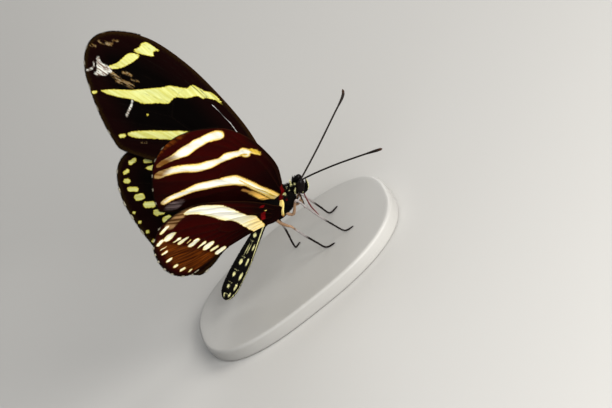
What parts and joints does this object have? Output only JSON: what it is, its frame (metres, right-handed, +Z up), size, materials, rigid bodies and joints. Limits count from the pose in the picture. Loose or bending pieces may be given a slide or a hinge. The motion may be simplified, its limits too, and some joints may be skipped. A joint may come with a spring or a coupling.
{
  "type": "butterfly model on a display base",
  "caption": "Life-size still model of a zebra longwing butterfly, wings half raised in a V, feeding stance with its proboscis let down, standing on a plain flat display base.",
  "frame": {"origin": "centre of the display base's flat underside, midway along and across the base", "axes": "+X forward, towards the head, along the length of the base; +Y to the butterfly's left; +Z up"},
  "size_m": [0.0495, 0.0578, 0.051],
  "materials": {
    "wing_scales": "matte black with pale yellow bands",
    "body_scales": "matte black hair and scales with pale yellow spots",
    "eye": "glossy black, finely faceted",
    "horn": "satin, ringed",
    "leg": "satin, scaled, dark towards the claws",
    "base_plate": "satin off-white"
  },
  "bodies": {
    "root": {"thorax": "body_scales", "abdomen": "body_scales", "head": "body_scales", "palp_left": "body_scales", "palp_right": "body_scales", "eye_left": "eye", "eye_right": "eye", "proboscis": "horn", "antenna_left": "horn", "antenna_right": "horn", "forewing_left": "wing_scales", "forewing_right": "wing_scales", "hindwing_left": "wing_scales", "hindwing_right": "wing_scales", "foreleg_left": "leg", "foreleg_right": "leg", "leg_middle_left": "leg", "leg_middle_right": "leg", "leg_hind_left": "leg", "leg_hind_right": "leg", "stand_base": "base_plate"}
  },
  "joints": []
}
